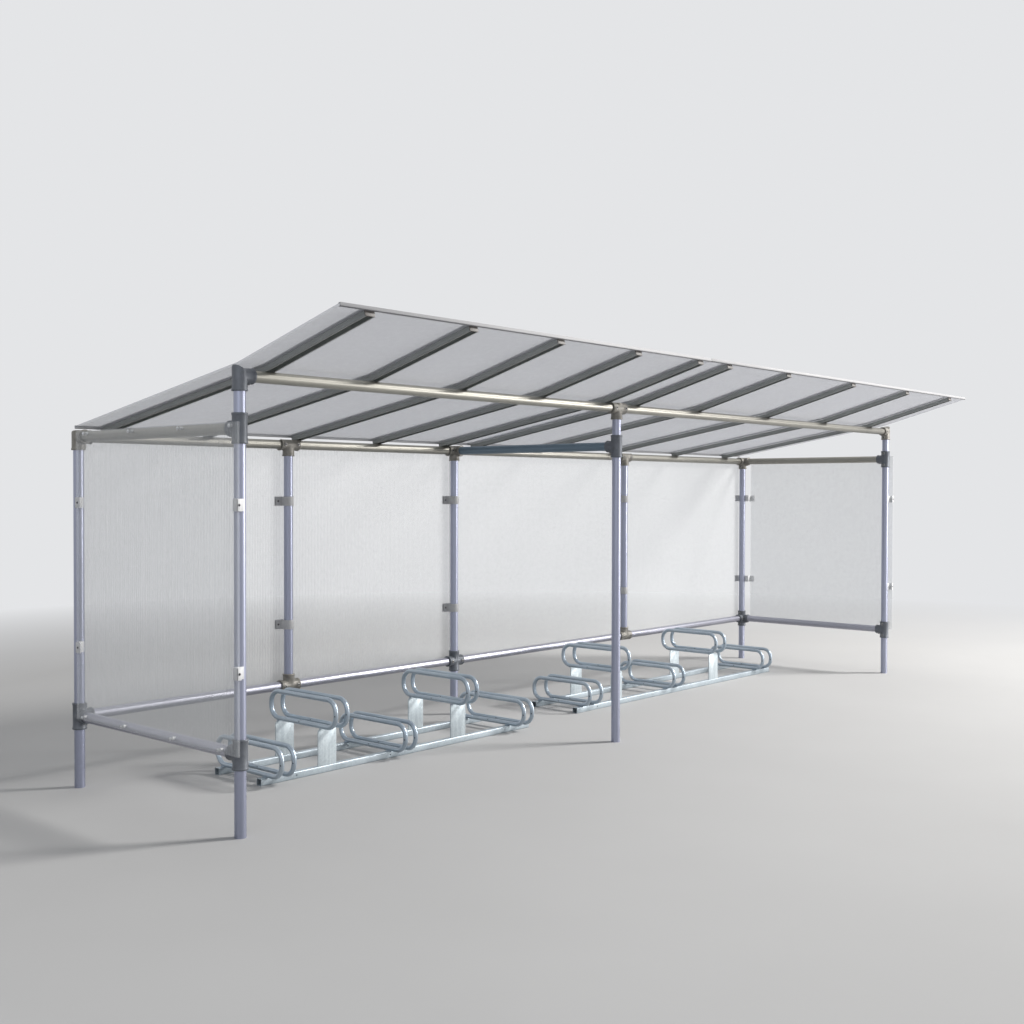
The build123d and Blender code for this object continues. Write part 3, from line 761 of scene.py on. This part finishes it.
def wheel_rack(side, rack):
    hoop, painted_bore_shade = bent_hoop(rack.rear - rack.front)
    hoop_y = (rack.front + rack.rear) / 2
    rails = [floor_rail(rack.start, rack.end, y) for y in rack.rails_y]
    low_hoops, high_hoops, plates, beads, vent_shade_discs = [], [], [], [], []
    for n, x in enumerate(rack.pairs_x):
        raised = n % 2 == 1
        low = RACK_RAIL + 0.2 + (PLATE_TALL if raised else 0)
        for offset in (-rack.spacing / 2, rack.spacing / 2):
            middle = at(x + offset, hoop_y, low + HOOP_HEIGHT / 2)
            (high_hoops if raised else low_hoops).append(copy_of(hoop, Matrix.Translation(middle)))
            vent_shade_discs.append(copy_of(painted_bore_shade, Matrix.Translation(middle)))
            for y in rack.rails_y:
                seat_y = y + PLATE_SETBACK if raised else y
                for across in (-6.8, 6.8):
                    spot = at(x + offset + across, seat_y, low + 1.4)
                    beads.append(copy_of(SHORT_BEAD if raised else RAIL_BEAD, Matrix.Translation(spot)))
        if raised:
            for y in rack.rails_y:
                plates.append(copy_of(PLATE, Matrix.Translation(at(x, y + PLATE_SETBACK, RACK_RAIL))))
                turn = Matrix.Rotation(pi / 2, 4, "Z")
                spot = at(x, y + PLATE_SETBACK + PLATE_THICK / 2 + 1, RACK_RAIL + 1.0)
                beads.append(copy_of(LONG_BEAD, Matrix.Translation(spot) @ turn))
    finished(joined("floor_rails_" + side, rails), ZINC_RAIL, "galvanised", "rack_rails_" + side)
    finished(joined("low_wheel_hoops_" + side, low_hoops), ZINC, "galvanised", "low_hoops_" + side)
    finished(joined("high_wheel_hoops_" + side, high_hoops), ZINC, "galvanised", "high_hoops_" + side)
    finished(joined("stand_plates_" + side, plates), ZINC_PLATE, "galvanised", "rack_plates_" + side)
    finished(joined("weld_beads_" + side, beads), ZINC, "galvanised")
    # Dark steel discs in the vent holes, as painted shade of the hoops' bores
    finished(joined("vent_painted_shade_" + side, vent_shade_discs), DARK_STEEL, "galvanised")
    for shape in (hoop, painted_bore_shade):
        bpy.data.objects.remove(shape)


for side, rack in RACKS.items():
    wheel_rack(side, rack)
for shape in (PLATE, RAIL_BEAD, SHORT_BEAD, LONG_BEAD):
    bpy.data.objects.remove(shape)


# Roof bars, caps, strips and trims, drawn flat and laid on the two slopes
def rafter_bar(x):
    # A channel, open below, with a lip turned in along each side of the opening
    half, inner = RAFTER_WIDTH / 2, RAFTER_WIDTH / 2 - RAFTER_WALL
    front, rear = RAFTER_FRONT - 5, RAFTER_REAR + 5
    channel = rounded(bar("channel", (x - half, RAFTER_FRONT, 0), (x + half, RAFTER_REAR, RAFTER_DEPTH)), 1.4)
    hollow = bar("hollow", (x - inner, front, RAFTER_WALL - 0.5),
                 (x + inner, rear, RAFTER_DEPTH - RAFTER_WALL))
    slot = bar("slot", (x - inner + RAFTER_LIP, front, -3), (x + inner - RAFTER_LIP, rear, 6))
    unite(channel, [hollow, slot], "DIFFERENCE")
    return smooth(lay_on_roof(channel), 40)


def rafter_end_cap(x, station, outward):
    half, plug = RAFTER_WIDTH / 2, RAFTER_WIDTH / 2 - RAFTER_WALL - 0.3
    face = sorted((station, station + outward * CAP_THICK))
    depth = sorted((station, station - outward * CAP_PLUG))
    cap = rounded(bar("cap", (x - half, face[0], 0), (x + half, face[1], RAFTER_DEPTH)), 0.9, 3)
    fill = bar("plug", (x - plug, depth[0], RAFTER_DEPTH / 3),
               (x + plug, depth[1], RAFTER_DEPTH - RAFTER_WALL - 0.3))
    unite(cap, [fill])
    return smooth(lay_on_roof(cap), 40)


def cover_strip(x):
    front, rear = SHEET_FRONT + TRIM_COVER + 2, SHEET_REAR - REAR_TRIM_COVER - 2
    low, high = SHEET_HIGH + SHEET_GAP, SHEET_HIGH + STRIP_THICK
    strip = rounded(bar("strip", (x - RAFTER_WIDTH / 2, front, low), (x + RAFTER_WIDTH / 2, rear, high)), 1.0)
    return smooth(lay_on_roof(strip), 40)


def sheet_trim(x0, x1, station, outward, cover):
    # A channel pushed over the edge of the sheet
    back, seat = station - outward * cover, station + outward * TRIM_GAP
    lip = sorted((back, seat + outward * TRIM_WALL))
    hollow = sorted((back - outward * 3, seat))
    low, high = SHEET_LOW - SHEET_GAP, SHEET_HIGH + SHEET_GAP
    trim = rounded(bar("trim", (x0, lip[0], low - TRIM_WALL), (x1, lip[1], high + TRIM_WALL)), 0.9)
    unite(trim, [bar("hollow", (x0 - 1, hollow[0], low), (x1 + 1, hollow[1], high))], "DIFFERENCE")
    return smooth(lay_on_roof(trim), 40)


def roof_facing(x, station, height, outward):
    # A place on the roof, facing away from the sheet or in under it
    axes = roof_axes()[0 if station > 0 else 1]
    y, z = roof_point(station, height)
    return facing((0, outward * axes[2], outward * axes[3]), at(x, y, z))


def hex_bolt():
    washer = turned("washer", [(9.0, 0), (9.0, 1.4), (8.6, 1.8)], 28)
    head = turned("head", [(7.0, 1.2), (7.0, 6.2), (6.2, 7.2)], 6)
    return smooth(unite(washer, [head]), 30)


def pan_screw(radius=5.5, washer=0.0):
    # A domed head with a six-sided socket, on a washer where it has one
    rise = 1.4 if washer else 0.0
    head = turned("head", [(radius, 0), (radius, rise + 1.2), (radius * 0.86, rise + 2.4),
                           (radius * 0.5, rise + 3.0)], 28)
    if washer:
        unite(head, [turned("washer", [(washer, 0), (washer, 1.1), (washer - 0.4, 1.4)], 32)])
    unite(head, [turned("socket", [(radius * 0.4, rise + 1.4), (radius * 0.4, rise + 6)], 6)], "DIFFERENCE")
    return smooth(head, 35)


BOLT, SCREW, WASHER_SCREW = hex_bolt(), pan_screw(5.0), pan_screw(4.6, 8.0)
STRIP_SCREWS, END_SCREW = 6, 60
BOLT_STATION = 640.0
for side, places, sheet in (("left", LEFT_RAFTERS, LEFT_SHEET), ("right", RIGHT_RAFTERS, RIGHT_SHEET)):
    bars = joined("rafter_bars_" + side, [rafter_bar(x) for x in places])
    finished(bars, ROOF_BAR, "roof_bar", "rafters_" + side)
    caps = [rafter_end_cap(x, station, way)
            for x in places for station, way in ((RAFTER_FRONT, -1), (RAFTER_REAR, 1))]
    finished(joined("rafter_end_caps_" + side, caps), CAP, "end_cap", "rafter_caps_" + side)
    strips = joined("sealing_strips_" + side, [cover_strip(x) for x in places])
    finished(strips, ROOF_BAR, "roof_bar", "cover_strips_" + side)
    trims = [sheet_trim(*sheet, SHEET_FRONT, -1, TRIM_COVER),
             sheet_trim(*sheet, SHEET_REAR, 1, REAR_TRIM_COVER)]
    finished(joined("edge_trims_" + side, trims), TRIM, "edge_trim", "roof_edge_trim_" + side)
    under = RAFTER_DEPTH - RAFTER_WALL
    bolts = [copy_of(BOLT, roof_facing(x, BOLT_STATION, under, -1)) for x in places]
    finished(smooth(joined("rafter_bolts_" + side, bolts)), DARK_STEEL, "roof_bar")
    stations = between(SHEET_FRONT + END_SCREW, SHEET_REAR - END_SCREW,
                       [n / (STRIP_SCREWS - 1) for n in range(STRIP_SCREWS)])
    screws = [copy_of(WASHER_SCREW, roof_facing(x, station, SHEET_HIGH + STRIP_THICK, 1))
              for x in places for station in stations]
    screws += [copy_of(SCREW, roof_facing(x, RAFTER_FRONT + CAP_PLUG + 10, under, -1)) for x in places]
    finished(joined("roof_screws_" + side, screws), BRIGHT_STEEL, "roof_bar")


# Clips and screws of the walls
def wrap_lap_plates():
    # On the front posts the plate becomes the side of an angle that wraps the panel's front edge
    for post_x, outward in ((0, -1), (LENGTH, 1)):
        def near(middle):
            return abs(middle.y - at(0, LAP_PLATE_Y, 0).y) < (CLIP_WIDTH / 2 + 2) * MM

        def across(middle):
            return (middle.x - at(post_x, 0, 0).x) * outward / MM
        pick_faces(lambda middle, normal: near(middle) and across(middle) > PANEL_FACE - 1)
        centre = at(post_x, LAP_PLATE_Y, 0)
        bpy.ops.transform.resize(value=(1, ANGLE_SIDE / CLIP_WIDTH, 1), center_override=centre)
        bpy.ops.transform.translate(value=(0, (ANGLE_FRONT + ANGLE_SIDE / 2 - LAP_PLATE_Y) * MM, 0))


def clip_flanges():
    # The front side of each angle, square to its plate
    flanges = []
    for z in CLIP_HEIGHTS:
        for post_x, outward in ((0, -1), (LENGTH, 1)):
            x0, x1 = sorted((post_x + outward * CLIP_FACE, post_x + outward * FLANGE_INNER))
            flange = bar("flange", (x0, ANGLE_FRONT, z - CLIP_TALL / 2),
                         (x1, ANGLE_FRONT + CLIP_SHEET, z + CLIP_TALL / 2))
            flange.data.transform(Matrix.Translation(at(0, 0, 0)))
            flanges.append(smooth(rounded(flange, 0.6, 2), 40))
    return flanges


def softened(name, node, width, finish):
    # A merged copy of a node's solids with its edges broken
    piece = bpy.data.objects.new(name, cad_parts[node].data.copy())
    bpy.context.collection.objects.link(piece)
    clean(piece)
    open_mesh(piece)
    bpy.ops.mesh.select_all(action="SELECT")
    bpy.ops.mesh.dissolve_limited(angle_limit=radians(2))
    if node == "edge_clips":
        wrap_lap_plates()
    close_mesh()
    rounded(piece, width, 2, 50)
    if node == "edge_clips":
        piece = joined(name, [piece] + clip_flanges())
    return finished(smooth(piece, 40), finish, "clip", node)


def clip_screw_places():
    places = []
    for z in CLIP_HEIGHTS:
        for x, outward in ((0, LEFT), (LENGTH, RIGHT)):
            face_x = x + outward[0] * CLIP_FACE
            places.append(((face_x, DEPTH - 71, z), outward))
            places.append(((x + outward[0] * FLANGE_SCREW, ANGLE_FRONT, z), FORWARD))
            places.append(((x - outward[0] * 18, DEPTH + CLIP_FACE, z), BACK))
        for x in (LEFT_MULLION, LEFT_BAY, RIGHT_MULLION):
            for ear in (x - SADDLE_SCREW, x + SADDLE_SCREW):
                places += [((ear, DEPTH + SADDLE_FACE, z), FORWARD), ((ear, DEPTH + CLIP_FACE, z), BACK)]
    return places


def panel_screw_places():
    # Along the top and low tubes behind each panel
    places = []
    for z, side_y in ((RAIL_HEIGHT + 10, (10, 370, 750, 1130)), (LOW_HEIGHT + 10, (90, 430, 815, 1150))):
        for y in side_y:
            places += [((-PANEL_FACE, y, z), LEFT), ((LENGTH + PANEL_FACE, y, z), RIGHT)]
        walls = (0, LEFT_MULLION, LEFT_BAY, RIGHT_MULLION, LENGTH)
        for x0, x1 in zip(walls, walls[1:]):
            count = round((x1 - x0) / 380)
            places += [((x, DEPTH + PANEL_FACE, z), BACK)
                       for x in between(x0, x1, [(n + 0.5) / count for n in range(count)])]
    return places


def spacer():
    # A short sleeve that holds the panel off the tube
    return smooth(turned("spacer", [(7.0, 0), (7.0, PANEL_INNER - TUBE_R + 4)], 24), 40)


softened("panel_edge_clips", "edge_clips", 0.6, CLIP)
# Saddles and back plates take the darker clip copy as painted shade
softened("mullion_saddles", "saddle_clips", 0.6, SHADED_CLIP)
softened("panel_back_plates", "clip_back_plates", 0.6, SHADED_CLIP)
clip_screws = [copy_of(SCREW, facing(towards, at(*place))) for place, towards in clip_screw_places()]
finished(joined("clip_screws", clip_screws), DARK_STEEL, "clip")
panel_screws = [copy_of(WASHER_SCREW, facing(towards, at(*place))) for place, towards in panel_screw_places()]
finished(joined("panel_screws", panel_screws), BRIGHT_STEEL, "clip")
SPACER = spacer()
spacers = []
for place, towards in panel_screw_places():
    inner = [p - (PANEL_FACE - PANEL_INNER) * t for p, t in zip(place, towards)]
    spacers.append(copy_of(SPACER, facing([-t for t in towards], at(*inner))))
finished(joined("panel_spacers", spacers), CLIP, "clip")
for shape in (BOLT, SCREW, WASHER_SCREW, SPACER):
    bpy.data.objects.remove(shape)


# Carried-over nodes
def paint(node, finish):
    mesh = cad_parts[node].data
    mesh.materials.clear()
    mesh.materials.append(finish)


# The level tubes take the copies of the tube finish that carry painted light and shade
COATS = ((("post_", "mullion_left", "mullion_right"), TUBE), (("cross_tube_middle",), BLUE_SHADED_TUBE),
         (("front_beam_left", "front_beam_right", "rear_top_rail", "cross_tube_left", "cross_tube_right"),
          WARM_SUNLIT_TUBE),
         (("rear_low_rail", "side_low_rail"), PALE_LIT_TUBE), (("roof_sheet",), ROOF_SHEET),
         (("rear_panel",), WALL_SHEET), (("side_panel",), SIDE_SHEET))
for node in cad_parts:
    for starts, coat in COATS:
        if node.startswith(starts):
            paint(node, coat)


# Floor, light and camera
BACKDROP, BACKDROP_LEVEL, AMBIENT = (0.97, 0.98, 1.0), 0.80, 0.26
FLOOR_SIDE, FADE_START, FADE_END = 60, 4.5, 9.5

# The lens is given as pixels of focal length over pixels of picture, its place as in at()
FOCAL_PIXELS, PICTURE_PIXELS, SENSOR = 1218.18, 1024, 36
CAMERA_PLACE = (-2926.4, -4032.6, 1392.7)
YAW, PITCH, ROLL = 0.8476, -0.0174, 0.002


def floor():
    bpy.ops.mesh.primitive_plane_add(size=FLOOR_SIDE, location=(0, 0, 0))
    ground = named("floor")
    f = Finish("pale floor", roughness=0.9)
    f.shader.inputs["Specular IOR Level"].default_value = 0.1
    # Pale where it is seen, directly or in metal and glass, and darker in the light that it sends up
    pale = f.graded(f.noise(0.8, 3), (0.3, (0.50, 0.50, 0.50)), (0.7, (0.52, 0.52, 0.52)))
    path = f.tree.nodes.new("ShaderNodeLightPath")
    seen = f.reckon("MAXIMUM", path.outputs["Is Camera Ray"], path.outputs["Is Transmission Ray"])
    seen = f.reckon("MAXIMUM", seen, path.outputs["Is Glossy Ray"])
    f.colour(f.mixed(seen, (0.30, 0.30, 0.31), pale))
    # Far from the shelter the floor turns into the pale backdrop
    distance = f.tree.nodes.new("ShaderNodeVectorMath")
    distance.operation = "LENGTH"
    f.link(f.place, distance.inputs[0])
    glow = f.tree.nodes.new("ShaderNodeEmission")
    glow.inputs["Color"].default_value = (*BACKDROP, 1)
    f.link(f.ranged(seen, AMBIENT, BACKDROP_LEVEL), glow.inputs["Strength"])
    fade = f.tree.nodes.new("ShaderNodeMixShader")
    f.link(f.ranged(distance.outputs["Value"], 0.0, 1.0, FADE_START, FADE_END), fade.inputs[0])
    f.link(f.shader.outputs[0], fade.inputs[1])
    f.link(glow.outputs[0], fade.inputs[2])
    f.link(fade.outputs[0], f.tree.nodes["Material Output"].inputs["Surface"])
    ground.data.materials.append(f.material)


def lamp(name, place, target, size, power, colour=(1, 1, 1)):
    light = bpy.data.lights.new(name, "AREA")
    light.shape = "DISK"
    light.size = size
    light.energy = power
    light.color = colour
    body = bpy.data.objects.new(name, light)
    body.location = place
    body.rotation_euler = (Vector(target) - Vector(place)).to_track_quat("-Z", "Y").to_euler()
    bpy.context.collection.objects.link(body)


def surround():
    world = bpy.data.worlds.new("studio")
    bpy.context.scene.world = world
    world.use_nodes = True
    tree = world.node_tree
    back = tree.nodes["Background"]
    path = tree.nodes.new("ShaderNodeLightPath")
    seen = tree.nodes.new("ShaderNodeMath")
    seen.operation = "MAXIMUM"
    tree.links.new(path.outputs["Is Camera Ray"], seen.inputs[0])
    tree.links.new(path.outputs["Is Transmission Ray"], seen.inputs[1])
    both = tree.nodes.new("ShaderNodeMath")
    both.operation = "MAXIMUM"
    tree.links.new(seen.outputs[0], both.inputs[0])
    tree.links.new(path.outputs["Is Glossy Ray"], both.inputs[1])
    level = tree.nodes.new("ShaderNodeMapRange")
    level.inputs["To Min"].default_value = AMBIENT
    level.inputs["To Max"].default_value = BACKDROP_LEVEL
    tree.links.new(both.outputs[0], level.inputs["Value"])
    tree.links.new(level.outputs["Result"], back.inputs["Strength"])
    back.inputs["Color"].default_value = (*BACKDROP, 1)


def camera():
    lens = bpy.data.cameras.new("camera")
    lens.sensor_width = SENSOR
    lens.lens = FOCAL_PIXELS / PICTURE_PIXELS * SENSOR
    lens.clip_end = 200
    body = bpy.data.objects.new("camera", lens)
    body.location = at(*CAMERA_PLACE)
    ahead = Vector((sin(YAW) * cos(PITCH), cos(YAW) * cos(PITCH), sin(PITCH)))
    across = Vector((cos(YAW), -sin(YAW), 0))
    above = across.cross(ahead)
    right = cos(ROLL) * across + sin(ROLL) * above
    top = -sin(ROLL) * across + cos(ROLL) * above
    body.rotation_euler = Matrix((right, top, -ahead)).transposed().to_euler()
    bpy.context.collection.objects.link(body)
    bpy.context.scene.camera = body


floor()
lamp("key", (9.5, -7.5, 8.4), (0, 0, 0.9), 3.4, 2400, (1.0, 0.98, 0.95))
lamp("low side", (7.4, -7.8, 1.8), (-1.0, 0, 0.9), 2.4, 460, (1.0, 0.98, 0.96))
lamp("fill", (-8.5, -4.5, 4.5), (0, 0, 0.8), 8.0, 120, (0.88, 0.93, 1.0))
lamp("top", (0.0, 0.5, 9.0), (0, 0, 0), 8.0, 210)
surround()
camera()
bpy.context.scene.view_settings.view_transform = "Standard"
